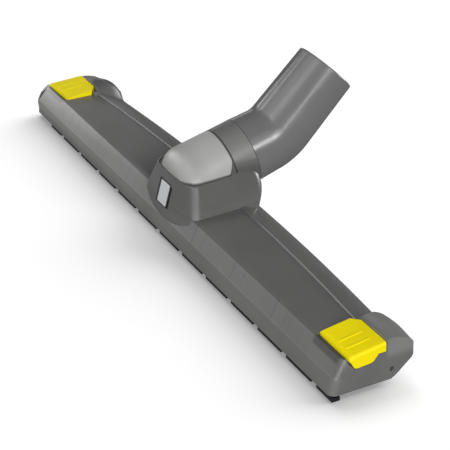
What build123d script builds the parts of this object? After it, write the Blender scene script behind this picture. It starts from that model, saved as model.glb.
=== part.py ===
from build123d import *
import os
from math import asin, atan2, cos, degrees, radians, sin, sqrt, tan

os.makedirs("parts", exist_ok=True)

# Floor brush head of a wet and dry vacuum cleaner, in millimetres.
# X runs along the head, Y from its front edge to the tube, Z up from the floor.
# Depths are measured from the front wall's lower edge, and at() turns one into a model Y.

# Clearances
wall = 2.0
body_gap = 0.3
seat_gap = 0.15
pin_play = 0.05

# Housing: front wall, front band and flat deck, straight along X
body_width = 450.0
sole_z = 4.1
wall_top_z = 15.0
wall_top_depth = 2.1
deck_z = 26.8
deck_depth = 8.0
end_corner_radius = 5.0

# Housing: rear rim, flank and lower chamfer, bowed about one upright axis
bow_radius = 2083.0
rim_depth = 47.4
rim_z = 27.5
rim_width = 1.3
flank_run = 20.7
flank_sag = 1.2
rear_edge_z = 16.6
rear_edge_height = 1.0
chamfer_run = 9.8
chamfer_z = 6.0
foot_run = 6.5

# Raised end blocks
block_length = 29.0
block_ramp = 9.0
block_top_outer_z = 33.1
block_top_inner_z = 31.7
block_shoulder_run = 5.0
block_middle_run = 14.3
block_middle_z = 28.0
block_middle_rise = 2.9
block_corner_run = 20.9
block_corner_z = 20.6
block_corner_rise = 5.8
block_edge_z = 16.8
block_root_run = 6.0
block_root_z = 20.0
block_foot_run = 19.0
block_foot_z = 14.6
block_overlap = 4.0
ramp_shoulder_z = 24.0
ramp_middle_run = 13.5
ramp_middle_z = 20.4
ramp_corner_run = 19.6
ramp_corner_z = 16.6
band_round = 4.0

# Latches and their channels
channel_length = 32.9
channel_front = 9.0
channel_rear = 37.4
channel_z = 24.6
channel_floor = 1.8
latch_length = 32.5
latch_front = 10.6
latch_rear = 36.9
latch_front_z = 27.5
latch_rear_z = 31.3
latch_skin = 2.0
latch_travel = 8.0
latch_cut_x = 4.5
latch_cut_y = 5.5
latch_bend = 2.0
rib_places = (17.8, 9.6)
rib_front = 15.5
rib_length = 16.0
rib_half_width = 1.0
rib_height = 0.35
tab_thickness = 2.0
tab_foot_z = 19.2
tab_foot_front = 16.6
tab_foot_rear = 28.0
tab_corner = 3.0
runner_length = 8.0
runner_front = 21.0
runner_rear = 26.5
foot_thickness = 1.9
foot_overhang = 3.0
prong_size = 4.0

# Hump in the middle
hump_half = 36.8
hump_lean = 0.465
hump_taper = 0.065
hump_bulge_radius = 150.0
hump_front_kink_z = 23.5
hump_front_low = 2.2
hump_front_lean = 0.272
hump_front_corner = 7.0
hump_rear_corner = 8.0
hump_levels = [(12.0, 57.5), (21.0, 61.5), (27.0, 65.0), (36.0, 68.0), (47.0, 66.0), (58.0, 63.0)]
hump_rim_z = 47.4
hump_rim_flat_end = 28.0
hump_rim_radius = 115.0
hump_rim_round = 1.2
roof_thickness = 1.8

# Neck: collar, swivel and elbow
seam_depth = 65.3
seam_z = 51.5
neck_tilt = 15.9
elbow_turn = 29.7
neck_radius = 24.0
collar_length = 16.1
swivel_bore = 20.9
swivel_depth = 15.0
neck_throat = 17.6
duct_end = 30.0
spigot_length = 14.4
ring_offset = 8.0
ring_width = 2.0
ring_reach = 1.3
seal_offset = 12.6
seal_radius = 0.8
elbow_lower_length = 25.05
elbow_upper_length = 60.9
elbow_bend_radius = 34.0
elbow_mid_radius = 23.4
tube_outer_radius = 22.26
tube_bore = 20.0
socket_depth = 40.0
stop_width = 2.0
stop_height = 1.4
tube_lip = 1.2

# Cap on the hump
cap_gap = 0.6
cap_skin = 1.8
cap_seat_drop = 1.0
cap_front = 8.8
cap_rear = 60.0
cap_half = 25.6
cap_corner = 8.0
cap_taper = 0.045
cap_top_z = 60.3
cap_slope = 0.286
cap_roll = 14.0
cheek_top_z = 58.5
cheek_foot_depth = 42.4
cheek_foot_z = 45.0

# Badge plate in the hump's front
badge_width = 14.4
badge_height = 16.2
badge_mid_z = 31.6
badge_thickness = 1.0
badge_recess = 1.4
badge_margin = 2.0
badge_backing = 1.2
badge_corner = 1.0

# Strips and their rails
gap_pitch = 35.5
gap_width = 6.0
gap_count = 12
strip_half_length = 222.0
strip_front = 2.2
strip_thickness = 5.0
strip_splay = 0.6
strip_top_z = 9.5
rail_z = 5.2
rail_top_z = 10.6
rail_lip_z = 9.1
rail_lip = 2.0
front_rail_half = 207.5
rear_strip_offset = -3.0
rear_strip_half = 196.5

# Sole plate
sole_thickness = 2.0
flange_thickness = 1.5
mouth_front = 12.0
mouth_rear = 28.5
mouth_half = 190.0
mouth_count = 6
mouth_rib = 3.0
screw_depth = 32.6
screw_columns = (56.0, 104.0, 152.0)
screw_shank = 1.3
screw_head = 2.8
screw_length = 12.0
boss_radius = 3.4

# Wheels
wheel_radius = 11.2
wheel_depth = 41.9
wheel_width = 11.0
wheel_inset = 9.5
axle_radius = 1.5
axle_recess = 2.0
axle_boss = 2.5
axle_boss_length = 7.0
axle_inner_end = 1.0
bracket_thickness = 2.5
well_gap = 0.8

# Worked-out places
half_width = body_width / 2
lower_direction = (0.0, cos(radians(neck_tilt)), sin(radians(neck_tilt)))
upper_tilt = neck_tilt + elbow_turn
upper_direction = (0.0, cos(radians(upper_tilt)), sin(radians(upper_tilt)))
bend_depth = seam_depth + elbow_lower_length * lower_direction[1]
bend_z = seam_z + elbow_lower_length * lower_direction[2]
mouth_depth = bend_depth + elbow_upper_length * upper_direction[1]
mouth_z = bend_z + elbow_upper_length * upper_direction[2]
overall_depth = (
    mouth_depth
    - tube_lip * upper_direction[1]
    + (tube_outer_radius - tube_lip) * upper_direction[2]
    + tube_lip
)


def at(depth):
    """Model Y of a depth behind the front wall's lower edge."""
    return depth - overall_depth / 2


bow_y = at(rim_depth) - bow_radius
bow_axis = Axis((0, bow_y, 0), (0, 0, 1))
bow_angle = degrees(asin(half_width / bow_radius)) + 1.0


def rim_at(x):
    """Depth of the bowed rim line at a place along the head."""
    return rim_depth - bow_radius + sqrt(bow_radius**2 - x**2)


def bow_plane(angle):
    """Upright plane through the bow's axis: its X is the radius, its Y is height."""
    turn = radians(angle)
    return Plane(
        origin=(0, bow_y, 0),
        x_dir=(sin(turn), cos(turn), 0),
        z_dir=(cos(turn), -sin(turn), 0),
    )


def neck_plane(distance):
    """Plane square to the swivel's axis, a distance past the seam towards the tube."""
    origin = (
        0,
        at(seam_depth) + distance * lower_direction[1],
        seam_z + distance * lower_direction[2],
    )
    return Plane(origin=origin, x_dir=(1, 0, 0), z_dir=lower_direction)


def tube_plane(distance):
    """Plane square to the tube socket's axis, a distance past the bend."""
    origin = (
        0,
        at(bend_depth) + distance * upper_direction[1],
        bend_z + distance * upper_direction[2],
    )
    return Plane(origin=origin, x_dir=(1, 0, 0), z_dir=upper_direction)


# Body form: the straight front, cut to the bowed rear
def front_face(x, inset, floor_z):
    """Front wall and band, with all that lies behind them."""
    band_slope = (deck_depth - wall_top_depth) / (deck_z - wall_top_z)
    wall_slope = wall_top_depth / (wall_top_z - sole_z)
    high = 70.0
    far = 130.0
    points = [
        (at(wall_slope * (floor_z - sole_z)), floor_z),
        (at(wall_top_depth), wall_top_z),
        (at(deck_depth + band_slope * (high - deck_z)), high),
        (at(far), high),
        (at(far), floor_z),
    ]
    with BuildSketch(Plane.YZ.offset(x)) as outline:
        with BuildLine():
            Polyline(*points, close=True)
        make_face()
        if inset:
            offset(amount=-inset, kind=Kind.INTERSECTION)
        band_corner = outline.vertices().filter_by_position(Axis.Y, at(0.5), at(6))
        band_corner = band_corner.filter_by_position(Axis.Z, wall_top_z - 2, wall_top_z + 2)
        fillet(band_corner, radius=band_round)
    return outline.sketch


def rear_face(inset, floor_z):
    """Deck, rim, flank, rear edge and lower chamfer, in the bow's own plane."""
    inner = bow_radius - 90.0
    flank_top = (bow_radius + 0.3, rim_z)
    flank_foot = (bow_radius + flank_run, rear_edge_z)
    points = [
        flank_foot,
        (bow_radius + flank_run, rear_edge_z - rear_edge_height),
        (bow_radius + chamfer_run, chamfer_z),
        (bow_radius + foot_run, sole_z),
    ]
    if floor_z < sole_z:
        points.append((bow_radius + foot_run, floor_z))
    points += [
        (inner, floor_z),
        (inner, deck_z),
        (bow_radius - rim_width, deck_z),
        (bow_radius - 0.4, rim_z),
        flank_top,
    ]
    with BuildSketch(bow_plane(bow_angle)) as outline:
        with BuildLine():
            Polyline(*points)
            SagittaArc(flank_top, flank_foot, flank_sag)
        make_face()
        if inset:
            offset(amount=-inset, kind=Kind.INTERSECTION)
    return outline.sketch


def block_face(x, growth, inset):
    """Rear part of an end block: growth runs from 0 at its inner edge to 1 at the end face."""
    rim = rim_at(x)
    top = block_top_inner_z + growth * (block_top_outer_z - block_top_inner_z)
    shoulder = (at(rim + block_shoulder_run + growth), top)
    middle = (at(rim + block_middle_run), block_middle_z + block_middle_rise * growth)
    corner = (at(rim + block_corner_run), block_corner_z + block_corner_rise * growth)
    root = at(channel_rear - block_overlap)
    with BuildSketch(Plane.YZ.offset(x)) as outline:
        with BuildLine():
            ThreePointArc(shoulder, middle, corner)
            Polyline(
                corner,
                (at(rim + block_corner_run + 0.5), block_edge_z),
                (at(rim + block_foot_run), block_foot_z),
                (at(rim + block_root_run), block_root_z),
                (root, block_root_z),
                (root, top),
                shoulder,
            )
        make_face()
        if inset:
            offset(amount=-inset, kind=Kind.INTERSECTION)
    return outline.sketch


def ramp_face(x):
    """Inner foot of an end block, just under the deck and the flank."""
    rim = rim_at(x)
    shoulder = (at(rim + block_shoulder_run), ramp_shoulder_z)
    middle = (at(rim + ramp_middle_run), ramp_middle_z)
    corner = (at(rim + ramp_corner_run), ramp_corner_z)
    root = at(channel_rear - block_overlap)
    with BuildSketch(Plane.YZ.offset(x)) as outline:
        with BuildLine():
            ThreePointArc(shoulder, middle, corner)
            Polyline(
                corner,
                (at(rim + ramp_corner_run - 0.2), ramp_corner_z - 0.4),
                (at(rim + block_foot_run), block_foot_z),
                (at(rim + block_root_run), block_root_z),
                (root, block_root_z),
                (root, deck_z - 0.6),
                shoulder,
            )
        make_face()
    return outline.sketch


def hump_front(z):
    """Depth of the hump's front face at a height, on the middle line."""
    return hump_front_low + hump_front_lean * max(0.0, z - hump_front_kink_z)


def hump_face(z, rear_depth, inset):
    """Level section of the hump: bulged front, sides that close in towards the tube."""
    front = hump_front(z)
    half_front = hump_half - hump_lean * (z - deck_z)
    half_rear = half_front - hump_taper * (rear_depth - front)
    bulge = half_front**2 / (2 * hump_bulge_radius)
    with BuildSketch(Plane.XY.offset(z)) as outline:
        with BuildLine():
            ThreePointArc(
                (-half_front, at(front + bulge)),
                (0, at(front)),
                (half_front, at(front + bulge)),
            )
            Polyline(
                (half_front, at(front + bulge)),
                (half_rear, at(rear_depth)),
                (-half_rear, at(rear_depth)),
                (-half_front, at(front + bulge)),
            )
        make_face()
        fillet(outline.vertices().group_by(Axis.Y)[0], radius=hump_front_corner)
        fillet(outline.vertices().group_by(Axis.Y)[-1], radius=hump_rear_corner)
        if inset:
            offset(amount=-inset)
    return outline.sketch


def rim_rise(depth):
    """Height of the hump's rim line at a depth."""
    past = max(0.0, depth - hump_rim_flat_end)
    return hump_rim_z + hump_rim_radius - sqrt(hump_rim_radius**2 - past**2)


def above_rim(drop, half):
    """Solid over the hump's rim line, lowered by a drop, to cut the hump's top."""
    rear = 75.0
    with BuildPart() as block:
        with BuildSketch(Plane.YZ.offset(-half)):
            with BuildLine():
                flat_end = (at(hump_rim_flat_end), hump_rim_z - drop)
                rise_end = (at(rear), rim_rise(rear) - drop)
                TangentArc(flat_end, rise_end, tangent=(1, 0))
                Polyline(
                    rise_end,
                    (at(rear), 90),
                    (at(-10), 90),
                    (at(-10), hump_rim_z - drop),
                    flat_end,
                )
            make_face()
        extrude(amount=2 * half)
    return block.part


def cap_plan(grow):
    """The cap's outline seen from above, moved out by an amount."""
    half_front = cap_half + grow
    half_rear = half_front - cap_taper * (cap_rear - cap_front)
    front = at(cap_front) - grow
    bulge = half_front**2 / (2 * hump_bulge_radius)
    with BuildSketch(Plane.XY) as outline:
        with BuildLine():
            ThreePointArc((-half_front, front + bulge), (0, front), (half_front, front + bulge))
            Polyline(
                (half_front, front + bulge),
                (half_rear, at(cap_rear)),
                (-half_rear, at(cap_rear)),
                (-half_front, front + bulge),
            )
        make_face()
        fillet(outline.vertices().group_by(Axis.Y)[0], radius=cap_corner + grow)
    return outline.sketch


def cap_arch(depth, inset):
    """Upright section across the cap: a round arch over its seat."""
    half = cap_half - cap_taper * (depth - cap_front) - inset
    foot = rim_rise(depth) - cap_seat_drop - 1.5
    top = cap_top_z + cap_slope * (depth - cap_front) - inset
    with BuildSketch(Plane.XZ.offset(-at(depth))) as outline:
        with BuildLine():
            ThreePointArc((-half, foot), (0, top), (half, foot))
            Line((half, foot), (-half, foot))
        make_face()
    return outline.sketch


def cap_crown(inset):
    """Closed form of the cap: an arch that rolls over its front edge and stands on its plan."""
    with BuildPart() as crown:
        loft([cap_arch(cap_front + inset, inset), cap_arch(cap_rear, inset)])
        front_edges = crown.edges().group_by(Axis.Y)[0]
        fillet(front_edges.sort_by(SortBy.LENGTH)[-1], radius=cap_roll - inset)
        with BuildSketch(Plane.XY.offset(35)):
            add(cap_plan(-inset))
        extrude(amount=50, mode=Mode.INTERSECT)
    return crown.part


def tube_run(start_plane, start_radius, end_plane, end_radius):
    """Two circles to loft between along the elbow."""
    with BuildSketch(start_plane) as first:
        Circle(start_radius)
    with BuildSketch(end_plane) as last:
        Circle(end_radius)
    return [first.sketch, last.sketch]


def box_between(low, high):
    """Upright box between two corners, X and Z as they are and Y as depths."""
    size = [b - a for a, b in zip(low, high)]
    middle = [(a + b) / 2 for a, b in zip(low, high)]
    return Pos(middle[0], at(middle[1]), middle[2]) * Box(*size, mode=Mode.PRIVATE)


def mirrored_box(low, high):
    """The same box at both ends of the head."""
    there = box_between(low, high)
    return [there, there.mirror(Plane.YZ)]


# Places along the head that several pieces share
end_x = half_width - block_length
channel_x = half_width - channel_length
tray_z = channel_z - channel_floor
sole_top_z = sole_z + sole_thickness
open_z = sole_z - 12.0
latch_x = half_width - latch_length
runner_x = channel_x + 8.0
foot_top_z = tray_z - body_gap
foot_z = foot_top_z - foot_thickness
tab_x = half_width - tab_thickness
wheel_x = half_width - wheel_inset - wheel_width
bracket_x = wheel_x - well_gap - 1.0 - bracket_thickness
axle_x = bracket_x - axle_inner_end
well_radius = wheel_radius + well_gap
slot_front = 8.0
block_stations = [(0.0, 0.0), (0.25, 0.42), (0.6, 0.82), (1.0, 1.0)]


def tab_face(grow):
    """Outline of a latch's end tab, with rounded lower corners, moved out by an amount."""
    with BuildSketch() as outline:
        with BuildLine():
            Polyline(
                (at(latch_front + 0.2), latch_front_z - 0.6),
                (at(latch_front + 1.0), 24.0),
                (at(tab_foot_front), tab_foot_z),
                (at(tab_foot_rear), tab_foot_z + 0.9),
                (at(latch_rear - 0.3), latch_rear_z - 0.8),
                close=True,
            )
        make_face()
        fillet(outline.vertices().sort_by(Axis.Y)[0:2], radius=tab_corner)
        if grow:
            offset(amount=grow, kind=Kind.INTERSECTION)
    return outline.sketch


def behind_cap(gap):
    """Solid that holds all behind the cap's rear edge, which bends forward at the cheeks."""
    seam_at_top = seam_depth - (
        collar_length + (cheek_top_z - seam_z) * lower_direction[2]
    ) / lower_direction[1]
    with BuildPart() as behind:
        with BuildSketch(neck_plane(-collar_length - gap)):
            Rectangle(200, 200)
        extrude(amount=60)
        with BuildSketch(Plane.YZ.offset(-60)):
            with BuildLine():
                Polyline(
                    (at(seam_at_top - gap), cheek_top_z),
                    (at(cheek_foot_depth - gap), cheek_foot_z),
                    (at(seam_depth), cheek_foot_z),
                    (at(seam_depth - 8), cheek_top_z),
                    close=True,
                )
            make_face()
        extrude(amount=120)
    return behind.part


# Cheeks of the collar, which stand beside the cap's rear edge
with BuildPart() as cheeks:
    add(cap_crown(0))
    add(cap_crown(cap_skin + 0.6), mode=Mode.SUBTRACT)
    add(behind_cap(0), mode=Mode.INTERSECT)
    add(above_rim(cap_seat_drop + 0.5, 60), mode=Mode.INTERSECT)
    with BuildSketch(neck_plane(-collar_length + 0.5)):
        Rectangle(200, 200)
    extrude(amount=60, mode=Mode.SUBTRACT)

# Seat of the cap, cut into the hump's top
with BuildPart() as cap_seat:
    with BuildSketch(Plane.XY.offset(35)):
        add(cap_plan(cap_gap))
    extrude(amount=50)
    add(above_rim(cap_seat_drop, 60), mode=Mode.INTERSECT)
    add(behind_cap(0), mode=Mode.SUBTRACT)

# Hump with its rounded rim and the seat of the cap
with BuildPart() as hump_form:
    loft([hump_face(z, rear, 0) for z, rear in hump_levels])
    add(above_rim(0, 60), mode=Mode.SUBTRACT)
    rim_edges = hump_form.edges().filter_by(lambda e: e.center().Z > hump_rim_z - 1)
    rim_edges = rim_edges.filter_by(lambda e: abs(e.tangent_at(0.5).Z) < 0.6)
    rim_edges = rim_edges.filter_by(lambda e: e.center().Y > at(cap_front) or e.length > 4)
    fillet(rim_edges, radius=hump_rim_round)
    add(cap_seat.part, mode=Mode.SUBTRACT)

# Outer form of the housing, without its openings
with BuildPart() as housing_form:
    extrude(front_face(-half_width, 0, sole_z), amount=body_width)
    corner_edges = housing_form.edges().filter_by(lambda e: abs(abs(e.center().X) - half_width) < 0.01)
    corner_edges = corner_edges.filter_by(lambda e: e.center().Y < at(deck_depth + 25))
    corner_edges = corner_edges.filter_by(lambda e: sole_z + 0.1 < e.center().Z < 69)
    fillet(corner_edges, radius=end_corner_radius)
    revolve(
        rear_face(0, sole_z),
        axis=bow_axis,
        revolution_arc=2 * bow_angle,
        mode=Mode.INTERSECT,
    )
    for side in (-1, 1):
        loft([block_face(side * (end_x + s * block_length), g, 0) for s, g in block_stations])
        loft([ramp_face(side * (end_x - block_ramp)), block_face(side * end_x, 0, 0)], ruled=True)
    add(hump_form.part)
    with BuildSketch(neck_plane(-duct_end)):
        Circle(neck_throat + wall)
    extrude(amount=duct_end - collar_length + 1)
    with Locations(neck_plane(-duct_end)):
        Sphere(neck_throat + wall)
    with BuildSketch(neck_plane(0)):
        Circle(neck_radius)
    extrude(amount=-collar_length)
    add(cheeks.part)

# What is kept inside the shell: trays, bosses, brackets and the badge's backing
badge_tilt = atan2(hump_front_lean, 1.0)
badge_plane = Plane(
    origin=(0, at(hump_front(badge_mid_z)), badge_mid_z),
    x_dir=(1, 0, 0),
    z_dir=(0, -cos(badge_tilt), sin(badge_tilt)),
)

with BuildPart() as inner_walls:
    for side in (-1, 1):
        for x in screw_columns:
            with BuildSketch(Plane.XY.offset(sole_top_z)):
                with Locations((side * x, at(screw_depth))):
                    Circle(boss_radius)
            extrude(amount=deck_z - sole_top_z)
        with BuildSketch(Plane.YZ.offset(side * (half_width - wall - axle_boss_length))):
            with Locations((at(wheel_depth), wheel_radius)):
                Circle(axle_radius + axle_boss)
        extrude(amount=side * (axle_boss_length + wall))
    add(mirrored_box(
        (channel_x - wall, 0, tray_z),
        (half_width, channel_rear + wall, channel_z + 20),
    ))
    add(mirrored_box(
        (tab_x - body_gap - wall, 6.0, tab_foot_z - body_gap - wall),
        (half_width, channel_rear + wall, channel_z),
    ))
    add(mirrored_box(
        (bracket_x, channel_rear - 0.4, sole_top_z + 0.6),
        (bracket_x + bracket_thickness, wheel_depth + 5.0, deck_z),
    ))
    with BuildSketch(badge_plane):
        Rectangle(badge_width + 2 * badge_margin, badge_height + 2 * badge_margin)
    extrude(amount=-badge_recess - badge_backing)

# Inner space of the housing, open at the sole
with BuildPart() as housing_space:
    extrude(front_face(-half_width + wall, wall, open_z), amount=body_width - 2 * wall)
    inner_corners = housing_space.edges().filter_by(
        lambda e: abs(abs(e.center().X) - half_width + wall) < 0.01
    )
    inner_corners = inner_corners.filter_by(lambda e: e.center().Y < at(deck_depth + 25))
    inner_corners = inner_corners.filter_by(lambda e: open_z + 3 < e.center().Z < 67)
    fillet(inner_corners, radius=end_corner_radius - wall)
    revolve(
        rear_face(wall, open_z),
        axis=bow_axis,
        revolution_arc=2 * bow_angle,
        mode=Mode.INTERSECT,
    )
    for side in (-1, 1):
        inner_stations = [(end_x + wall, 0.0), (end_x + 10.0, 0.55), (half_width - wall, 1.0)]
        loft([block_face(side * x, g, wall) for x, g in inner_stations])
    add(inner_walls.part, mode=Mode.SUBTRACT)

with BuildPart() as hump_space:
    loft([hump_face(z, rear, wall) for z, rear in hump_levels])
    add(above_rim(cap_seat_drop + roof_thickness, 60), mode=Mode.SUBTRACT)
    with BuildSketch(badge_plane):
        Rectangle(badge_width + 2 * badge_margin, badge_height + 2 * badge_margin)
    extrude(amount=-badge_recess - badge_backing, mode=Mode.SUBTRACT)
    with BuildSketch(neck_plane(0)):
        Circle(neck_radius)
    extrude(amount=-collar_length, mode=Mode.SUBTRACT)
    with BuildSketch(neck_plane(-duct_end)):
        Circle(neck_throat)
    extrude(amount=duct_end)
    with Locations(neck_plane(-duct_end)):
        Sphere(neck_throat)
    with BuildSketch(neck_plane(0)):
        Circle(swivel_bore)
    extrude(amount=-swivel_depth)
    with BuildSketch(neck_plane(-ring_offset + seat_gap)):
        Circle(swivel_bore + ring_reach + seat_gap)
    extrude(amount=-ring_width - 2 * seat_gap)

with BuildPart() as upper_housing:
    add(housing_form.part)
    add(housing_space.part, mode=Mode.SUBTRACT)
    add(hump_space.part, mode=Mode.SUBTRACT)
    add(mirrored_box(
        (channel_x, channel_front, channel_z),
        (half_width - wall, channel_rear, channel_z + 20),
    ), mode=Mode.SUBTRACT)
    add(mirrored_box(
        (half_width - wall - 1, latch_front - body_gap, channel_z),
        (half_width + 5, latch_rear + body_gap, channel_z + 20),
    ), mode=Mode.SUBTRACT)
    add(mirrored_box(
        (runner_x - body_gap, runner_front - body_gap, tray_z - 1),
        (runner_x + runner_length + latch_travel + 2 * body_gap, runner_rear + body_gap, channel_z + 1),
    ), mode=Mode.SUBTRACT)
    for side in (-1, 1):
        with BuildSketch(Plane.YZ.offset(side * (tab_x - body_gap))):
            add(tab_face(body_gap))
        extrude(amount=side * 5, mode=Mode.SUBTRACT)
        with BuildSketch(Plane.YZ.offset(side * (wheel_x - well_gap))):
            with Locations((at(wheel_depth), wheel_radius)):
                Circle(well_radius)
        extrude(amount=side * (wheel_width + 2 * well_gap), mode=Mode.SUBTRACT)
        with BuildSketch(Plane.YZ.offset(side * (axle_x - 2))):
            with Locations((at(wheel_depth), wheel_radius)):
                Circle(axle_radius + pin_play)
        extrude(amount=side * 40, mode=Mode.SUBTRACT)
        for x in screw_columns:
            with BuildSketch(Plane.XY.offset(sole_top_z)):
                with Locations((side * x, at(screw_depth))):
                    Circle(screw_shank + pin_play)
            extrude(amount=screw_length, mode=Mode.SUBTRACT)
    with BuildSketch(badge_plane.offset(-badge_recess)):
        Rectangle(badge_width, badge_height)
        fillet(vertices(), radius=badge_corner)
    extrude(amount=8, mode=Mode.SUBTRACT)

upper_housing.part.label = "upper_housing"
export_step(upper_housing.part, "parts/upper_housing.step")

# Badge plate in its recess
with BuildPart() as badge_plate:
    with BuildSketch(badge_plane.offset(-badge_recess)):
        Rectangle(badge_width - 2 * seat_gap, badge_height - 2 * seat_gap)
        fillet(vertices(), radius=badge_corner)
    extrude(amount=badge_thickness)
    front_rim = badge_plate.faces().sort_by(Axis.Y)[0].edges()
    chamfer(front_rim, length=0.2)

badge_plate.part.label = "badge_plate"
export_step(badge_plate.part, "parts/badge_plate.step")

# Cap over the neck, an open shell on the hump's top
with BuildPart() as neck_cap:
    add(cap_crown(0))
    add(above_rim(cap_seat_drop, 60), mode=Mode.INTERSECT)
    add(cap_crown(cap_skin), mode=Mode.SUBTRACT)
    add(behind_cap(cap_gap), mode=Mode.SUBTRACT)

neck_cap.part.label = "neck_cap"
export_step(neck_cap.part, "parts/neck_cap.step")

# Elbow with the tube socket and the swivel's spigot
with BuildLine() as elbow_path:
    FilletPolyline(
        neck_plane(body_gap).origin,
        tube_plane(0).origin,
        tube_plane(elbow_upper_length).origin,
        radius=elbow_bend_radius,
    )
bend_reach = elbow_bend_radius * tan(radians(elbow_turn / 2))
bend_start = neck_plane(elbow_lower_length - bend_reach)
bend_end = tube_plane(bend_reach)
rim_plane = tube_plane(elbow_upper_length)
bend_arc = elbow_path.edges().filter_by(GeomType.CIRCLE)[0]

with BuildPart() as elbow_space:
    loft(tube_run(neck_plane(1.0), neck_throat, bend_start, tube_bore))
    with BuildSketch(bend_start):
        Circle(tube_bore)
    sweep(path=bend_arc)
    with BuildSketch(bend_end):
        Circle(tube_bore)
    extrude(amount=elbow_upper_length - bend_reach)
    with BuildSketch(tube_plane(elbow_upper_length - socket_depth)) as stop_ring:
        Circle(tube_bore)
        Circle(tube_bore - stop_height, mode=Mode.SUBTRACT)
    extrude(amount=-stop_width, mode=Mode.SUBTRACT)
    with BuildSketch(neck_plane(1.0)):
        Circle(neck_throat)
    extrude(amount=-spigot_length - 5.0)

with BuildPart() as elbow:
    loft(tube_run(neck_plane(body_gap), neck_radius, bend_start, elbow_mid_radius))
    with BuildSketch(bend_start):
        Circle(elbow_mid_radius)
    sweep(path=bend_arc)
    loft(tube_run(bend_end, elbow_mid_radius, rim_plane, tube_outer_radius))
    with BuildSketch(neck_plane(body_gap)):
        Circle(swivel_bore - body_gap)
    extrude(amount=-spigot_length - body_gap)
    rim_edge = elbow.edges().filter_by(GeomType.CIRCLE).sort_by(Axis.Z)[-1]
    fillet(rim_edge, radius=tube_lip)
    add(elbow_space.part, mode=Mode.SUBTRACT)
    for offset_from_seam, reach, width in (
        (ring_offset - body_gap, ring_reach + 0.4, ring_width + 2 * body_gap),
        (seal_offset - seal_radius, 2 * seal_radius - body_gap, 2 * seal_radius),
    ):
        with BuildSketch(neck_plane(-offset_from_seam)):
            Circle(swivel_bore + 1.0)
            Circle(swivel_bore - reach, mode=Mode.SUBTRACT)
        extrude(amount=-width, mode=Mode.SUBTRACT)

elbow.part.label = "elbow"
export_step(elbow.part, "parts/elbow.step")

# Split ring in the collar's groove, which holds the elbow's spigot
ring_inner = swivel_bore - ring_reach - 0.4 + body_gap
with BuildPart() as retaining_ring:
    with BuildSketch(neck_plane(-ring_offset)):
        Circle(swivel_bore + ring_reach)
        Circle(ring_inner, mode=Mode.SUBTRACT)
        with Locations((0, -swivel_bore)):
            Rectangle(4.0, 8.0, mode=Mode.SUBTRACT)
    extrude(amount=-ring_width)

retaining_ring.part.label = "retaining_ring"
export_step(retaining_ring.part, "parts/retaining_ring.step")

# Seal on the spigot
with BuildPart() as neck_seal:
    with BuildSketch(neck_plane(-seal_offset + seal_radius - pin_play)):
        Circle(swivel_bore - 0.25)
        Circle(swivel_bore - 2 * seal_radius + body_gap + pin_play, mode=Mode.SUBTRACT)
    extrude(amount=-2 * seal_radius + 2 * pin_play)
    chamfer(neck_seal.edges().group_by(SortBy.LENGTH)[-1], length=0.3)

neck_seal.part.label = "neck_seal"
export_step(neck_seal.part, "parts/neck_seal.step")

# Latch with its end tab, slide runner and the two prongs that hold the rails
latch_rise = (latch_rear_z - latch_front_z) / (latch_rear - latch_front)
latch_base_z = channel_z + body_gap
prong_z = rail_top_z + seat_gap
front_prong_x = front_rail_half - prong_size * 1.5
rear_prong_x = rear_strip_half - prong_size - 2.5
foot_x = min(rear_prong_x, runner_x)


def rib_plane(x):
    """Plane square to a finger rib on the latch's sloping top, at the rib's front end."""
    slope_end = (0, latch_rear - latch_front, latch_rear_z - latch_front_z)
    start_z = latch_front_z + latch_rise * (rib_front - latch_front)
    return Plane(origin=(x, at(rib_front), start_z), x_dir=(1, 0, 0), z_dir=slope_end)


with BuildPart() as right_latch:
    with BuildSketch(Plane.YZ.offset(latch_x)):
        with BuildLine():
            Polyline(
                (at(latch_front), latch_base_z),
                (at(latch_front), latch_front_z),
                (at(latch_rear), latch_rear_z),
                (at(latch_rear), latch_base_z),
                close=True,
            )
        make_face()
    extrude(amount=latch_length)
    inner_rear_edge = right_latch.edges().filter_by(Axis.Z).group_by(Axis.X)[0].sort_by(Axis.Y)[-1]
    chamfer(inner_rear_edge, length=latch_cut_y, length2=latch_cut_x)
    with BuildSketch(Plane.YZ.offset(latch_x + latch_skin)):
        with BuildLine():
            Polyline(
                (at(latch_front + latch_skin), latch_base_z - 1),
                (at(latch_front + latch_skin), latch_front_z - latch_skin + latch_skin * latch_rise),
                (at(latch_rear - latch_skin), latch_rear_z - latch_skin - latch_skin * latch_rise),
                (at(latch_rear - latch_skin), latch_base_z - 1),
                close=True,
            )
        make_face()
    extrude(amount=latch_length - latch_skin - tab_thickness, mode=Mode.SUBTRACT)
    with BuildSketch(Plane.YZ.offset(half_width)):
        add(tab_face(0))
    extrude(amount=-tab_thickness)
    bend_edge = right_latch.edges().group_by(Axis.X)[-1].sort_by(Axis.Z)[-1]
    fillet(bend_edge, radius=latch_bend)
    for place in rib_places:
        with BuildSketch(rib_plane(half_width - place)):
            Ellipse(rib_half_width, rib_height)
        extrude(amount=rib_length)
    add(box_between(
        (runner_x, runner_front, foot_z),
        (runner_x + runner_length, runner_rear, latch_front_z),
    ))
    add(box_between(
        (foot_x, runner_front - foot_overhang, foot_z),
        (runner_x + runner_length, runner_rear + foot_overhang, foot_top_z),
    ))
    add(box_between(
        (front_prong_x, slot_front + 0.5, prong_z),
        (front_prong_x + prong_size, slot_front + 2.5, foot_top_z),
    ))
    add(box_between(
        (front_prong_x, slot_front + 0.5, foot_z),
        (front_prong_x + prong_size, runner_rear, foot_top_z),
    ))
    add(box_between(
        (rear_prong_x, rim_at(rear_prong_x) - 4.8, prong_z),
        (rear_prong_x + prong_size, rim_at(rear_prong_x) - 2.6, foot_top_z),
    ))
    add(box_between(
        (rear_prong_x, runner_front, foot_z),
        (rear_prong_x + prong_size, rim_at(rear_prong_x) - 2.6, foot_top_z),
    ))

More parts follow.
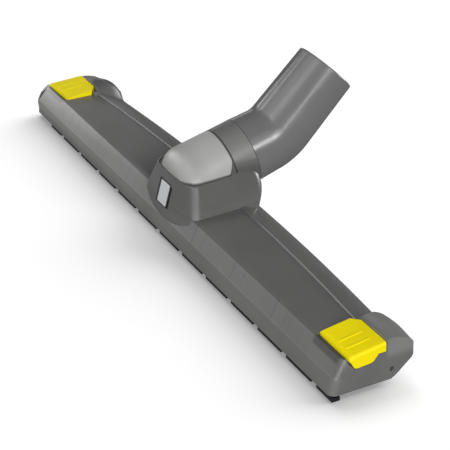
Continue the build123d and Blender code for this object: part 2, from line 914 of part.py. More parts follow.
right_latch.part.label = "right_latch"
export_step(right_latch.part, "parts/right_latch.step")

with BuildPart() as left_latch:
    mirror(right_latch.part, about=Plane.YZ)

left_latch.part.label = "left_latch"
export_step(left_latch.part, "parts/left_latch.step")

# Wheels and their axles
with BuildPart() as right_wheel:
    with BuildSketch(Plane.YZ.offset(wheel_x)):
        with Locations((at(wheel_depth), wheel_radius)):
            Circle(wheel_radius)
            Circle(axle_radius + pin_play, mode=Mode.SUBTRACT)
    extrude(amount=wheel_width)
    tread_edges = right_wheel.edges().group_by(SortBy.LENGTH)[-1]
    fillet(tread_edges, radius=1.2)
    for face_x, way in ((wheel_x, 1), (wheel_x + wheel_width, -1)):
        with BuildSketch(Plane.YZ.offset(face_x)):
            with Locations((at(wheel_depth), wheel_radius)):
                Circle(wheel_radius - 2.4)
                Circle(axle_radius + 2.4, mode=Mode.SUBTRACT)
        extrude(amount=way * 3.5, mode=Mode.SUBTRACT)

right_wheel.part.label = "right_wheel"
export_step(right_wheel.part, "parts/right_wheel.step")

with BuildPart() as left_wheel:
    mirror(right_wheel.part, about=Plane.YZ)

left_wheel.part.label = "left_wheel"
export_step(left_wheel.part, "parts/left_wheel.step")

with BuildPart() as right_axle:
    with BuildSketch(Plane.YZ.offset(axle_x)):
        with Locations((at(wheel_depth), wheel_radius)):
            Circle(axle_radius)
    extrude(amount=half_width - axle_recess - axle_x)
    chamfer(right_axle.edges().filter_by(GeomType.CIRCLE), length=0.3)

right_axle.part.label = "right_axle"
export_step(right_axle.part, "parts/right_axle.step")

with BuildPart() as left_axle:
    mirror(right_axle.part, about=Plane.YZ)

left_axle.part.label = "left_axle"
export_step(left_axle.part, "parts/left_axle.step")


def inner_wall_at(z):
    """Depth of the front wall's inner face at a height."""
    slope = wall_top_depth / (wall_top_z - sole_z)
    return (z - sole_z) * slope + wall * sqrt(1 + slope**2)


def bowed_band(points, half_length):
    """Section drawn from the rim line and swept along the bow, to a half length."""
    angle = degrees(asin(half_length / bow_radius))
    with BuildPart() as band:
        with BuildSketch(bow_plane(angle)):
            with BuildLine():
                Polyline(*[(bow_radius + run, z) for run, z in points], close=True)
            make_face()
        revolve(axis=bow_axis, revolution_arc=2 * angle)
    return band.part


def rectangle_points(low, high, low_z, high_z):
    """Corners of a section's rectangle."""
    return [(low, low_z), (high, low_z), (high, high_z), (low, high_z)]


# Front rail, clipped behind the front wall
spine_half = 1.2
spine_depth = strip_front + strip_thickness / 2
tread_top_z = rail_z - 0.1
rail_front = inner_wall_at(rail_z) + seat_gap
rail_front_top = inner_wall_at(rail_top_z) + seat_gap
rail_rear = slot_front - seat_gap

rail_half = strip_half_length - end_corner_radius / 2

with BuildPart() as front_rail:
    with BuildSketch(Plane.YZ.offset(-rail_half)):
        with BuildLine():
            Polyline(
                (at(rail_front), rail_z),
                (at(rail_front_top), rail_top_z),
                (at(rail_rear), rail_top_z),
                (at(rail_rear), rail_z),
                close=True,
            )
        make_face()
        with Locations((at(spine_depth), rail_z)):
            Rectangle(
                2 * spine_half + 2 * pin_play,
                2 * (strip_top_z - rail_z + pin_play),
                mode=Mode.SUBTRACT,
            )
    extrude(amount=2 * rail_half)
    add(box_between(
        (-front_rail_half, rail_rear - 0.5, rail_lip_z),
        (front_rail_half, rail_rear + rail_lip, rail_top_z),
    ))

front_rail.part.label = "front_rail"
export_step(front_rail.part, "parts/front_rail.step")

# Front bristle blocks, with gaps between them for coarse dirt
with BuildPart() as front_bristles:
    first_gap = -(gap_count - 1) / 2 * gap_pitch
    edges_x = [-strip_half_length]
    for i in range(gap_count):
        edges_x += [first_gap + i * gap_pitch - gap_width / 2, first_gap + i * gap_pitch + gap_width / 2]
    edges_x.append(strip_half_length)
    for start_x, stop_x in zip(edges_x[0::2], edges_x[1::2]):
        with BuildSketch(Plane.YZ.offset(start_x)):
            with BuildLine():
                Polyline(
                    (at(strip_front - strip_splay), 0),
                    (at(inner_wall_at(tread_top_z) + seat_gap), tread_top_z),
                    (at(spine_depth - spine_half), tread_top_z),
                    (at(spine_depth - spine_half), strip_top_z),
                    (at(spine_depth + spine_half), strip_top_z),
                    (at(spine_depth + spine_half), tread_top_z),
                    (at(strip_front + strip_thickness), tread_top_z),
                    (at(strip_front + strip_thickness + 0.2), 0),
                    close=True,
                )
            make_face()
        extrude(amount=stop_x - start_x)
    outer_edges = front_bristles.edges().filter_by(
        lambda e: abs(abs(e.center().X) - strip_half_length) < 0.01
    )
    outer_edges = outer_edges.filter_by(lambda e: e.center().Y < at(strip_front + 0.6))
    outer_edges = outer_edges.filter_by(lambda e: 0.5 < e.center().Z < tread_top_z - 0.5)
    fillet(outer_edges, radius=end_corner_radius - wall)

front_bristles.part.label = "front_bristles"
export_step(front_bristles.part, "parts/front_bristles.step")

# Rear rail and its one long bowed strip
rear_mid = rear_strip_offset + strip_thickness / 2
rear_low = rear_strip_offset - seat_gap
rear_high = rear_strip_offset + strip_thickness + seat_gap

with BuildPart() as rear_rail:
    add(bowed_band(rectangle_points(rear_low, rear_high, rail_z, rail_top_z), rear_strip_half))
    add(bowed_band(
        rectangle_points(rear_low - rail_lip, rear_high + rail_lip, rail_lip_z, rail_top_z),
        rear_strip_half,
    ))
    add(bowed_band(
        rectangle_points(
            rear_mid - spine_half - pin_play,
            rear_mid + spine_half + pin_play,
            rail_z - 1,
            strip_top_z + pin_play,
        ),
        rear_strip_half + 1,
    ), mode=Mode.SUBTRACT)

rear_rail.part.label = "rear_rail"
export_step(rear_rail.part, "parts/rear_rail.step")

with BuildPart() as rear_bristles:
    add(bowed_band(
        rectangle_points(rear_low + seat_gap, rear_high - seat_gap, 0, tread_top_z),
        rear_strip_half,
    ))
    add(bowed_band(
        rectangle_points(rear_mid - spine_half, rear_mid + spine_half, 0, strip_top_z),
        rear_strip_half,
    ))

rear_bristles.part.label = "rear_bristles"
export_step(rear_bristles.part, "parts/rear_bristles.step")

# Sole plate: suction mouth between the strips, slots for both rails
flange_top_z = rail_lip_z - pin_play
sole_half = half_width - wall - seat_gap
mouth_cell = (2 * mouth_half - (mouth_count - 1) * mouth_rib) / mouth_count
screw_head_depth = 1.6

with BuildPart() as screw_form:
    with BuildSketch(Plane.XZ.offset(-at(screw_depth))):
        with BuildLine():
            Polyline(
                (0, sole_z),
                (screw_head, sole_z),
                (screw_shank, sole_z + screw_head_depth),
                (screw_shank, sole_z + screw_length),
                (0, sole_z + screw_length),
                close=True,
            )
        make_face()
    revolve(axis=Axis((0, at(screw_depth), 0), (0, 0, 1)))
    with BuildSketch(Plane.XY.offset(sole_z)):
        with Locations((0, at(screw_depth))):
            Rectangle(3.0, 0.7)
            Rectangle(0.7, 3.0)
    extrude(amount=1.0, mode=Mode.SUBTRACT)

with BuildPart() as sole_plate:
    with BuildSketch(bow_plane(bow_angle)):
        with BuildLine():
            Polyline(
                (bow_radius - 60, sole_z),
                (bow_radius + foot_run - wall - seat_gap, sole_z),
                (bow_radius + foot_run - wall - seat_gap, sole_top_z),
                (bow_radius - 60, sole_top_z),
                close=True,
            )
        make_face()
    revolve(axis=bow_axis, revolution_arc=2 * bow_angle)
    add(box_between((-sole_half, slot_front, 0), (sole_half, 90, 30)), mode=Mode.INTERSECT)
    add(box_between((-sole_half, slot_front, sole_z), (sole_half, slot_front + flange_thickness, flange_top_z)))
    for near, far in (
        (rear_low - rail_lip + 0.1, rear_low - seat_gap),
        (rear_high + seat_gap, foot_run - wall - seat_gap),
    ):
        add(bowed_band(rectangle_points(near, far, sole_z, flange_top_z), rear_strip_half))
    add(bowed_band(
        rectangle_points(rear_low - seat_gap, rear_high + seat_gap, 0, sole_top_z + 1),
        rear_strip_half + body_gap,
    ), mode=Mode.SUBTRACT)
    with BuildSketch(Plane.XY.offset(sole_z)):
        with Locations((0, at((mouth_front + mouth_rear) / 2))):
            with GridLocations(mouth_cell + mouth_rib, 1, mouth_count, 1):
                RectangleRounded(mouth_cell, mouth_rear - mouth_front, 3.0)
    extrude(amount=sole_thickness, mode=Mode.SUBTRACT)
    add(mirrored_box(
        (wheel_x - well_gap, wheel_depth - well_radius, 0),
        (wheel_x + wheel_width + well_gap, 90, 30),
    ), mode=Mode.SUBTRACT)
    for side in (-1, 1):
        for x in screw_columns:
            with BuildSketch(Plane.XY.offset(sole_z)):
                with Locations((side * x, at(screw_depth))):
                    Circle(screw_shank + 2 * pin_play)
            extrude(amount=sole_thickness, mode=Mode.SUBTRACT)
            with BuildSketch(Plane.XY.offset(sole_z)):
                with Locations((side * x, at(screw_depth))):
                    Circle(screw_head + pin_play)
            extrude(
                amount=screw_head_depth,
                taper=degrees(atan2(screw_head - screw_shank, screw_head_depth)),
                mode=Mode.SUBTRACT,
            )

sole_plate.part.label = "sole_plate"
export_step(sole_plate.part, "parts/sole_plate.step")

with BuildPart() as sole_screws:
    for side in (-1, 1):
        for x in screw_columns:
            add(Pos(side * x, 0, 0) * screw_form.part)

sole_screws.part.label = "sole_screws"
export_step(sole_screws.part, "parts/sole_screws.step")
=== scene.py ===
import math
import random

import bmesh
import bpy
from mathutils import Matrix, Vector


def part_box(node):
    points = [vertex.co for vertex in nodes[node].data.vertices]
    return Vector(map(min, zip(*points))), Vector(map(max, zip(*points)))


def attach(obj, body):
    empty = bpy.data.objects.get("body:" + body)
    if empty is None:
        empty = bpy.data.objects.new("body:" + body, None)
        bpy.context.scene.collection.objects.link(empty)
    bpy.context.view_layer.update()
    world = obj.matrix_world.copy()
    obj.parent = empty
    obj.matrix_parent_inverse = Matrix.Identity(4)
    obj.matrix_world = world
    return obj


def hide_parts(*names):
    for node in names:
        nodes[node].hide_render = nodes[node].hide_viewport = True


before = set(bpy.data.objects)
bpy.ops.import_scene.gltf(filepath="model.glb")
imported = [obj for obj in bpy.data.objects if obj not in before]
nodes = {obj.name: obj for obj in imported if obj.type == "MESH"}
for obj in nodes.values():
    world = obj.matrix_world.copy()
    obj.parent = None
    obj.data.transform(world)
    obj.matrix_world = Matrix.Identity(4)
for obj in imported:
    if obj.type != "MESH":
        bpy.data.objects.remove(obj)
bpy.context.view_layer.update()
front_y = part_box("upper_housing")[0].y
scene = bpy.context.scene
scene.view_settings.view_transform = "Standard"


# Materials
def lin(*rgb):
    """Colour as it looks on screen, turned into linear light."""
    out = []
    for value in rgb:
        c = value / 255
        out.append(c / 12.92 if c <= 0.04045 else ((c + 0.055) / 1.055) ** 2.4)
    return (*out, 1.0)


class Nodes:
    """Shorthand for building one material's node tree."""

    def __init__(self, name):
        self.mat = bpy.data.materials.new(name)
        self.mat.use_nodes = True
        self.tree = self.mat.node_tree
        self.bsdf = self.tree.nodes["Principled BSDF"]

    def add(self, kind, **inputs):
        node = self.tree.nodes.new(kind)
        for key, value in inputs.items():
            node.inputs[key].default_value = value
        return node

    def link(self, a, b):
        self.tree.links.new(a, b)

    def coordinates(self):
        """The three coordinates of the object's own space."""
        place = self.add("ShaderNodeTexCoord")
        parts = self.add("ShaderNodeSeparateXYZ")
        self.link(place.outputs["Object"], parts.inputs[0])
        return parts.outputs

    def noise(self, scale, detail=2.0, rough=0.5):
        place = self.add("ShaderNodeTexCoord")
        node = self.add("ShaderNodeTexNoise", Scale=scale, Detail=detail, Roughness=rough)
        self.link(place.outputs["Object"], node.inputs["Vector"])
        return node.outputs["Fac"]

    def ramp(self, fac, stops):
        node = self.add("ShaderNodeValToRGB")
        ramp = node.color_ramp
        while len(ramp.elements) < len(stops):
            ramp.elements.new(0.5)
        for element, (place, colour) in zip(ramp.elements, stops):
            element.position = place
            element.color = colour
        self.link(fac, node.inputs["Fac"])
        return node.outputs["Color"]

    def span(self, fac, low, high, to_low, to_high):
        """Straight run between two values, held at its ends."""
        limits = {"From Min": low, "From Max": high, "To Min": to_low, "To Max": to_high}
        node = self.add("ShaderNodeMapRange", **limits)
        self.link(fac, node.inputs["Value"])
        return node.outputs["Result"]

    def smooth(self, place, low, high, start=0.0, end=1.0):
        """Smooth run between two places in mm."""
        out = self.span(place, low / 1000, high / 1000, start, end)
        out.node.interpolation_type = "SMOOTHSTEP"
        return out

    def math(self, operation, *values):
        node = self.add("ShaderNodeMath")
        node.operation = operation
        for socket, value in zip(node.inputs, values):
            if isinstance(value, (int, float)):
                socket.default_value = value
            else:
                self.link(value, socket)
        return node.outputs[0]

    def product(self, first, *others):
        for other in others:
            first = self.math("MULTIPLY", first, other)
        return first

    def bump(self, height, strength, distance):
        node = self.add("ShaderNodeBump", Strength=strength, Distance=distance)
        self.link(height, node.inputs["Height"])
        self.link(node.outputs["Normal"], self.bsdf.inputs["Normal"])


def moulded(name, colour, dark, light, rough=0.45, specular=0.5, grain=0.12, tone=None):
    """Satin moulded plastic: fine grain, faint flow marks, and painted light and shade by place
    where given.
    """
    m = Nodes(name)
    flow = m.noise(26.0, 3.0, 0.55)
    base = m.ramp(flow, [(0.3, lin(*dark)), (0.5, lin(*colour)), (0.72, lin(*light))])
    # The tone scales the colour by place: painted light and shade
    if tone:
        scaled = m.add("ShaderNodeVectorMath")
        scaled.operation = "SCALE"
        m.link(base, scaled.inputs[0])
        m.link(tone(m), scaled.inputs["Scale"])
        base = scaled.outputs[0]
    m.link(base, m.bsdf.inputs["Base Color"])
    patch = m.noise(60.0)
    m.link(m.span(patch, 0.3, 0.7, rough - 0.04, rough + 0.05), m.bsdf.inputs["Roughness"])
    m.bump(m.noise(2600.0, 2.0, 0.6), grain, 0.0002)
    m.bsdf.inputs["Specular IOR Level"].default_value = specular
    return m


def seam_lines(m, y, z):
    """Height over the cap's lower seam and depth past its rear one, both sloping, in metres."""
    deep = m.math("SUBTRACT", y, front_y)
    over = m.math("SUBTRACT", z, m.math("MULTIPLY", deep, 0.04))
    past = m.math("ADD", m.math("MULTIPLY", deep, 0.97), m.math("MULTIPLY", z, 0.26))
    return over, past


# Pairs of faint lines across the front band, in mm
tick_firsts = (-168, -114, -62, 43, 97, 150)
tick_distance = 12.8
tick_half_width = 0.5
tick_shades = (0.24, 0.14)


def shell_painted_light(m):
    """Factor on the housing's grey: painted light and shade, the sum of what each area adds, and
    painted shade along the cap's seam.
    """
    x, y, z = m.coordinates()
    wide = m.math("ABSOLUTE", x)

    def depth(low, high, start=0.0, end=1.0):
        """Smooth run between two depths behind the front edge, in mm."""
        return m.smooth(y, front_y * 1000 + low, front_y * 1000 + high, start, end)

    low_down = m.smooth(z, 27.5, 29.5, 1, 0)
    behind_band = depth(8, 14)
    front_part = depth(8.3, 9.0, 1, 0)
    band = m.product(front_part, m.smooth(z, 14.5, 17), low_down)

    # Painted shadow on the deck to the left of the hump
    beside_hump_shadow = m.product(
        m.smooth(x, -95, -40), m.smooth(x, -40, -30, 1, 0), behind_band, low_down
    )
    # Painted shade on the hump, deeper towards its +x side
    hump_shade = m.product(
        m.smooth(wide, 40, 47, 1, 0), m.smooth(z, 20, 33), m.smooth(z, 50, 56, 1, 0)
    )
    hump_shade = m.product(hump_shade, m.smooth(x, -22, 8, 0.1, 0.3))
    # Painted shade on the collar's left and painted light on its right side
    collar_light_shade = m.product(m.smooth(z, 55, 58), m.smooth(x, -15, 22, -0.25, 0.4))
    # Painted shade: the whole deck a little darker
    deck_shade = m.product(behind_band, low_down, m.smooth(wide, 188, 194, 1, 0))
    # Painted light on the front wall's upper part, strongest towards the left end
    wall_top_light = m.product(m.smooth(z, 5, 12), m.smooth(z, 14.5, 16.5, 1, 0), front_part)
    wall_top_light = m.product(wall_top_light, m.smooth(x, -230, 60, 0.5, 0.05))
    # Painted shade on the left end block's back and painted highlight on the right one's
    block_backs_light_shade = m.product(m.smooth(wide, 186, 196), m.smooth(z, 17, 24), depth(36, 40))
    block_backs_light_shade = m.product(block_backs_light_shade, m.smooth(x, -1, 1, -0.35, 0.5))
    # Painted shade in the groove beside each latch
    groove_shade = m.product(m.smooth(wide, 192, 195), m.smooth(wide, 219, 222, 1, 0))
    groove_shade = m.product(groove_shade, m.smooth(z, 21.5, 23.5), depth(5.4, 6.6), depth(12, 13, 1, 0))
    # Painted light along the band towards its left end, and painted shade on its right half
    band_light_shade = m.product(band, m.smooth(x, -230, 20, 0.35, -0.12))

    tone = 1.0
    for area, share in (
        (beside_hump_shadow, -0.42),
        (hump_shade, -1.0),
        (collar_light_shade, 1.0),
        (deck_shade, -0.1),
        (wall_top_light, 1.0),
        (block_backs_light_shade, 1.0),
        (groove_shade, -0.45),
        (band_light_shade, 1.0),
    ):
        tone = m.math("ADD", tone, m.math("MULTIPLY", area, share))
    for first in tick_firsts:
        for place, shade in zip((first, first + tick_distance), tick_shades):
            line = m.math("COMPARE", x, place / 1000, tick_half_width / 1000)
            tone = m.math("SUBTRACT", tone, m.product(line, shade, band))

    over, past = seam_lines(m, y, z)
    # Painted shade along the cap's rear seam
    seam_shade = m.product(
        m.smooth(past, 58.8, 59.2), m.smooth(past, 59.9, 60.3, 1, 0), m.smooth(z, 48, 49, 0, 0.7)
    )
    return m.product(tone, m.math("SUBTRACT", 1.0, seam_shade))


def cap_painted_shade(m):
    """Factor on the cap's grey: painted shade a little darker towards its front, and painted shade
    along its seams.
    """
    _, y, z = m.coordinates()
    over, past = seam_lines(m, y, z)
    # Painted shade towards the cap's front and along its lower and rear seams
    forward_shade = m.span(y, front_y + 0.008, front_y + 0.03, 0.8, 1.02)
    lower_seam_shade = m.span(over, 0.0468, 0.0475, 0.3, 1.0)
    rear_seam_shade = m.span(past, 0.0585, 0.0591, 1.0, 0.25)
    return m.product(forward_shade, lower_seam_shade, rear_seam_shade)


shell = moulded(
    "shell_plastic", (108, 108, 107), (104, 104, 103), (112, 112, 111), 0.33, tone=shell_painted_light
)
elbow_mat = moulded(
    "elbow_plastic", (101, 101, 101), (99, 99, 99), (103, 103, 103), 0.21, grain=0.04
)
under = moulded("under_plastic", (46, 46, 48), (42, 42, 44), (52, 52, 54), 0.5)
cap_mat = moulded(
    "cap_plastic", (172, 172, 170), (169, 169, 167), (175, 175, 173), 0.36, tone=cap_painted_shade
)
latch_mat = moulded("latch_plastic", (252, 233, 0), (248, 229, 0), (254, 235, 4), 0.45, 0.35)
wheel_mat = moulded("wheel_rubber", (58, 58, 60), (52, 52, 54), (64, 64, 66), 0.6, 0.4, 0.3)
ring_mat = moulded("ring_acetal", (206, 206, 200), (202, 202, 196), (210, 210, 205), 0.35)
seal_mat = moulded("seal_rubber", (38, 38, 40), (34, 34, 36), (42, 42, 44), 0.55, 0.4)
badge_mat = moulded("badge_plate", (196, 197, 199), (190, 191, 193), (202, 203, 205), 0.4)
strip_mat = moulded("strip_block", (26, 28, 30), (20, 22, 24), (34, 36, 38), 0.6, 0.35, 0.3)
# The axles' near-black is painted shade: it stands for the dark of the axle holes
axle_hole_shade = moulded("axle_hole_shade", (20, 20, 22), (16, 16, 18), (26, 26, 28), 0.5, 0.3)

steel = Nodes("zinc_steel")
zinc = steel.ramp(steel.noise(420.0, 3.0), [(0.3, lin(150, 152, 156)), (0.7, lin(196, 198, 202))])
steel.link(zinc, steel.bsdf.inputs["Base Color"])
steel.bsdf.inputs["Metallic"].default_value = 1.0
zinc_rough = steel.span(steel.noise(900.0), 0.3, 0.7, 0.25, 0.4)
steel.link(zinc_rough, steel.bsdf.inputs["Roughness"])

looks = {
    "upper_housing": shell,
    "elbow": elbow_mat,
    "sole_plate": under,
    "front_rail": under,
    "rear_rail": under,
    "front_bristles": strip_mat,
    "rear_bristles": strip_mat,
    "neck_cap": cap_mat,
    "badge_plate": badge_mat,
    "right_latch": latch_mat,
    "left_latch": latch_mat,
    "right_wheel": wheel_mat,
    "left_wheel": wheel_mat,
    "right_axle": axle_hole_shade,
    "left_axle": axle_hole_shade,
    "sole_screws": steel,
    "retaining_ring": ring_mat,
    "neck_seal": seal_mat,
}
for name, look in looks.items():
    if not nodes[name].material_slots:
        nodes[name].data.materials.append(look.mat)
    for slot in nodes[name].material_slots:
        slot.material = look.mat


# Pieces that stand for CAD nodes where the photograph shows a finer or fuller form
def blend(value, low, high):
    """Smooth step from 0 at low to 1 at high."""
    t = min(max((value - low) / (high - low), 0.0), 1.0)
    return t * t * (3 - 2 * t)


def ride_as(name, mesh, body, *replaced):
    """Add a piece that moves with a body, in place of any nodes named."""
    piece = bpy.data.objects.new(name, mesh)
    scene.collection.objects.link(piece)
    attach(piece, body)
    if replaced:
        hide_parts(*replaced)
    return piece


def cut(bm, keep, axis, places):
    """Split the faces that keep() picks along planes across an axis, so that they can bend."""
    normal = [0.0, 0.0, 0.0]
    normal[axis] = 1.0
    for place in places:
        point = [0.0, 0.0, 0.0]
        point[axis] = place / 1000
        if axis == 1:
            point[1] += front_y
        faces = [f for f in bm.faces if keep(f.calc_center_median() * 1000)]
        edges = {e for f in faces for e in f.edges}
        verts = {v for f in faces for v in f.verts}
        bmesh.ops.bisect_plane(
            bm, geom=[*verts, *edges, *faces], plane_co=point, plane_no=normal, dist=1e-7
        )


def shaped(name, node, body, move, cuts):
    """A new piece that starts from a node's form, with points and normals moved a little."""
    mesh = nodes[node].data.copy()
    normals = [0.0] * (3 * len(mesh.loops))
    mesh.corner_normals.foreach_get("vector", normals)
    if "custom_normal" in mesh.attributes:
        mesh.attributes.remove(mesh.attributes["custom_normal"])
    held = mesh.attributes.new("held_normal", "FLOAT_VECTOR", "CORNER")
    held.data.foreach_set("vector", normals)
    bm = bmesh.new()
    bm.from_mesh(mesh)
    for keep, axis, places in cuts:
        cut(bm, keep, axis, places)
    bm.to_mesh(mesh)
    bm.free()

    def shift(co):
        x, y, z = co.x * 1000, (co.y - front_y) * 1000, co.z * 1000
        return Vector(move(x, y, z)) / 1000

    # Each moved point's normals turn by the inverse transpose of the local change
    reach = 2e-4
    turns = {}
    for vertex in mesh.vertices:
        co = vertex.co.copy()
        here = shift(co)
        if here.length < 1e-9:
            continue
        slope = Matrix.Identity(3)
        for k in range(3):
            nudge = Vector((0, 0, 0))
            nudge[k] = reach
            column = (shift(co + nudge) - shift(co - nudge)) / (2 * reach)
            for r in range(3):
                slope[r][k] += column[r]
        turns[vertex.index] = slope.inverted_safe().transposed()
        vertex.co = co + here
    held = mesh.attributes["held_normal"]
    turned = []
    for loop, item in zip(mesh.loops, held.data):
        normal = Vector(item.vector)
        if loop.vertex_index in turns:
            normal = turns[loop.vertex_index] @ normal
        turned.append(normal.normalized())
    mesh.attributes.remove(held)
    mesh.polygons.foreach_set("use_smooth", [True] * len(mesh.polygons))
    mesh.normals_split_custom_set(turned)
    mesh.update()
    return ride_as(name, mesh, body, node)


# How far the shown ends depart from the CAD ones, in mm
far_out = 8.8
far_out_lost_at_top = 0.72
far_forward = 2.2
far_lift = 0.8
block_rise = 1.9
block_back = 0.6
block_drop = 3.3
latch_gap = 1.5


def far_end(x, y, z):
    """The left end stands a little further out low at the front."""
    u = blend(-x, 192, 225)
    near_front = 1 - blend(y, 8, 42)
    dx = -far_out * u * (1 - far_out_lost_at_top * blend(z, 19, 32)) * near_front
    dy = -far_forward * u * blend(z, 5, 15) * (1 - blend(z, 22, 29)) * (1 - blend(y, 8, 30))
    dz = far_lift * u * blend(z, 24, 29) * (1 - blend(y, 6, 20))
    return dx, dy, dz


def back_flank(x, y, z):
    """The end blocks are full at the back, and the left one falls towards its end."""
    along = blend(abs(x), 187, 196) * (1 - blend(abs(x), 202, 222))
    rise = along * blend(y, 38, 46) * blend(z, 12, 20)
    drop = blend(-x, 203, 223) * blend(y, 33, 38) * blend(z, 23, 29)
    return 0.0, block_back * rise, block_rise * rise - block_drop * drop


def latch_front(x, y, z):
    """The latch's front edge keeps clear of the channel's wall, which shows as a dark gap."""
    return 0.0, latch_gap * (1 - blend(y, 11.5, 15)), 0.0


def housing_move(x, y, z):
    return tuple(a + b for a, b in zip(far_end(x, y, z), back_flank(x, y, z)))


def far_latch_move(x, y, z):
    return tuple(a + b for a, b in zip(far_end(x, y, z), latch_front(x, y, z)))


def far_part(c):
    return c.x < -184


def either_end(c):
    return abs(c.x) > 183


def all_of_it(c):
    return True


end_steps = [186, 189, 192, 195, 198, 202, 206, 210, 214, 218, 221, 223.5]
housing_cuts = [
    (either_end, 0, [side * x for side in (-1, 1) for x in end_steps]),
    (far_part, 2, [6, 9, 12, 15, 18, 21, 24, 27, 30]),
    (far_part, 1, [8, 14, 20, 26, 32, 36]),
]
near_cuts = [(all_of_it, 1, [11.5, 13, 15])]
far_cuts = [*near_cuts, (far_part, 0, [-x for x in end_steps])]
housing = shaped("housing_shell", "upper_housing", "head", housing_move, housing_cuts)
near_latch = shaped("latch_near", "right_latch", "right_latch", latch_front, near_cuts)
far_latch = shaped("latch_far", "left_latch", "left_latch", far_latch_move, far_cuts)

# Badge: a plain plate on a dark sheet, a little wider on its left, which is painted shade for the
# recess round the plate
badge_mesh = nodes["badge_plate"].data
badge_low, badge_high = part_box("badge_plate")
badge_centre = (badge_low + badge_high) / 2
badge_normal = min(badge_mesh.polygons, key=lambda p: p.normal.y - p.area).normal.copy()
badge_up = Vector((0, badge_normal.z, -badge_normal.y))


def badge_piece(name, wide, high, right, up, out, look, *replaced):
    """The CAD plate scaled in its width and height, then moved by millimetres."""
    mesh = badge_mesh.copy()
    for vertex in mesh.vertices:
        offset = vertex.co - badge_centre
        vertex.co = (
            badge_centre
            + Vector((offset.x * wide + right / 1000, 0, 0))
            + badge_up * (offset.dot(badge_up) * high + up / 1000)
            + badge_normal * (offset.dot(badge_normal) + out / 1000)
        )
    mesh.materials.clear()
    mesh.materials.append(look.mat)
    ride_as(name, mesh, "head", *replaced)


# The dark sheet is painted shade in the badge's recess
badge_piece("badge_shade_sheet", 1.16, 1.12, -3.0, 0.6, 0.46, seal_mat)
badge_piece("badge_face", 0.9, 1.0, -2.3, 0.4, 0.62, badge_mat, "badge_plate")

# Front strip: blocks of short stiff bristles with gaps between them, in mm
first_gap = -182.6
gap_pitch = 35.13
gap_count = 12
half_gap = 3.2
strip_left = -205.3
strip_right = 224.4
strip_front = 1.8
strip_back = 7.0
strip_top = 9.0
low_end_from = 219
low_end_top = 2.6
tuft_width = 0.9
tuft_ridge = 0.16
tuft_lean = 0.5
tuft_uneven = 0.25


def bristle_block(bm, x0, x1, rng):
    """One block as a row of upright tufts, uneven at the foot."""
    count = max(int((x1 - x0) / tuft_width), 2)
    rows = []
    for i in range(count + 1):
        x = x0 + (x1 - x0) * i / count
        ridge = tuft_ridge if i % 2 else 0.0
        foot = rng.uniform(0.0, tuft_uneven)
        top = low_end_top if x > low_end_from else strip_top
        corners = (
            (strip_front + ridge, top),
            (strip_front + ridge - tuft_lean, foot),
            (strip_back - ridge, foot),
            (strip_back - ridge, top),
        )
        rows.append([bm.verts.new((x / 1000, front_y + y / 1000, z / 1000)) for y, z in corners])
    for a, b in zip(rows, rows[1:]):
        for k in range(4):
            n = (k + 1) % 4
            bm.faces.new((a[k], b[k], b[n], a[n]))
    bm.faces.new(rows[0])
    bm.faces.new(rows[-1][::-1])


gaps = [first_gap + gap_pitch * i for i in range(gap_count)]
starts = [strip_left, *(x + half_gap for x in gaps)]
stops = [*(x - half_gap for x in gaps), strip_right]
rng = random.Random(5)
bm = bmesh.new()
for x0, x1 in zip(starts, stops):
    bristle_block(bm, x0, x1, rng)
bmesh.ops.recalc_face_normals(bm, faces=bm.faces)
brush_mesh = bpy.data.meshes.new("front_brush")
bm.to_mesh(brush_mesh)
bm.free()
brush_mesh.materials.append(strip_mat.mat)
front_brush = ride_as("front_brush", brush_mesh, "head", "front_bristles")

# Floor, which looks white to the camera and sends less light back to the part
white = Nodes("studio_floor")
white.tree.nodes.remove(white.bsdf)


def floor_look(grey, strength):
    """Matt floor of one brightness with a little light of its own."""
    matt = white.add("ShaderNodeBsdfDiffuse", Color=(grey, grey, grey, 1))
    glow = white.add("ShaderNodeEmission", Strength=strength)
    both = white.add("ShaderNodeAddShader")
    white.link(matt.outputs[0], both.inputs[0])
    white.link(glow.outputs[0], both.inputs[1])
    return both.outputs[0]


seen = white.add("ShaderNodeLightPath")
switch = white.add("ShaderNodeMixShader")
white.link(seen.outputs["Is Camera Ray"], switch.inputs[0])
white.link(floor_look(0.16, 0.03), switch.inputs[1])
white.link(floor_look(0.9, 0.28), switch.inputs[2])
white.link(switch.outputs[0], white.tree.nodes["Material Output"].inputs["Surface"])

floor_mesh = bpy.data.meshes.new("floor")
bm = bmesh.new()
bmesh.ops.create_grid(bm, x_segments=1, y_segments=1, size=6.0)
bm.to_mesh(floor_mesh)
bm.free()
floor_mesh.materials.append(white.mat)
floor = bpy.data.objects.new("floor", floor_mesh)
scene.collection.objects.link(floor)


# Lights
def group(name, *members):
    """A collection for light linking."""
    out = bpy.data.collections.new(name)
    for member in members:
        out.objects.link(member)
    return out


def hang(name, data, way, receivers):
    """Put a light in the scene, shining along a way on its receivers."""
    lamp = bpy.data.objects.new(name, data)
    lamp.rotation_euler = Vector(way).to_track_quat("-Z", "Y").to_euler()
    lamp.light_linking.receiver_collection = receivers
    scene.collection.objects.link(lamp)
    return lamp


def softbox(name, compass, height, distance, target, size, power, receivers):
    """Area light that faces the target from a compass angle and a height angle."""
    turn, rise = math.radians(compass), math.radians(height)
    level = math.cos(rise)
    away = Vector((level * math.cos(turn), level * math.sin(turn), math.sin(rise)))
    data = bpy.data.lights.new(name, "AREA")
    data.shape = "RECTANGLE"
    data.size, data.size_y = size
    data.energy = power
    lamp = hang(name, data, -away, receivers)
    lamp.location = Vector(target) + distance * away


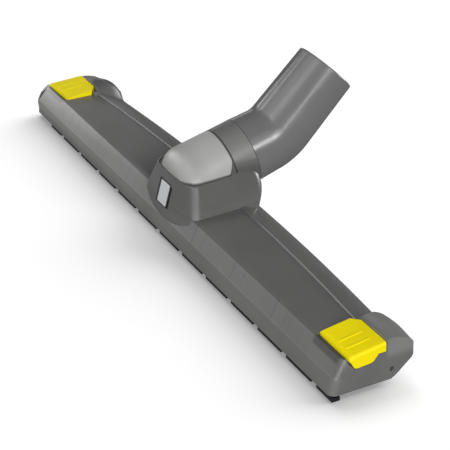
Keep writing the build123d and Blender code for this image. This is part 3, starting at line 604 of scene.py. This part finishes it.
# Softboxes round the object, which spare the floor: compass angle, height angle and power
softboxes = [
    (90, 10, 33.1),
    (320, 10, 14.5),
    (340, 10, 14.3),
    (0, 28, 9.1),
    (200, 10, 8.0),
    (220, 28, 6.7),
    (290, 46, 5.5),
    (265, 46, 2.9),
    (240, 28, 2.6),
    (220, 10, 2.4),
    (240, 46, 2.3),
    (20, 46, 2.1),
    (20, 28, 1.6),
    (200, 28, 1.4),
    (160, 10, 1.4),
    (315, 46, 1.2),
    (240, 10, 1.0),
    (300, 10, 0.9),
    (0, 10, 0.4),
]
not_floor = group("not_floor", floor)
not_floor.collection_objects[0].light_linking.link_state = "EXCLUDE"
for compass, height, power in softboxes:
    name = f"soft_{height}_{compass}"
    softbox(name, compass, height, 2.2, (0, 0, 0.03), (0.75, 0.75), power, not_floor)

# A small softbox for the elbow alone, whose finish is glossier
elbow_only = group("elbow_only", nodes["elbow"])
softbox("elbow_glint", 13, 27, 2.0, (0, 0, 0.06), (0.8, 0.36), 12.5, elbow_only)

# Light that falls on the floor alone and keeps it white, with shadows from the low parts
floor_only = group("floor_only", floor)
low_nodes = [nodes[name] for name in nodes if name not in ("elbow", "neck_cap")]
low_parts = group("low_parts", *low_nodes, housing, near_latch, far_latch, front_brush)
for name, way, spread, strength in (
    ("floor_wash", (0.15, -1.0, -0.64), 60, 2.9),
    ("floor_top", (1.0, -0.3, -1.3), 40, 1.25),
):
    data = bpy.data.lights.new(name, "SUN")
    data.energy = strength
    data.angle = math.radians(spread)
    hang(name, data, way, floor_only).light_linking.blocker_collection = low_parts

world = bpy.data.worlds.new("studio")
scene.world = world
world.use_nodes = True
background = world.node_tree.nodes["Background"]
background.inputs["Color"].default_value = (1, 1, 1, 1)
background.inputs["Strength"].default_value = 0.05

# Camera at the photograph's place
camera_data = bpy.data.cameras.new("camera")
camera_data.lens = 112.42
camera_data.sensor_width = 36.0
camera_data.clip_start = 0.05
camera = bpy.data.objects.new("camera", camera_data)
camera.location = (0.7786, front_y - 0.3650, 0.4815)
camera.rotation_euler = Vector((-0.7725, 0.4132, -0.4822)).to_track_quat("-Z", "Y").to_euler()
scene.collection.objects.link(camera)
scene.camera = camera
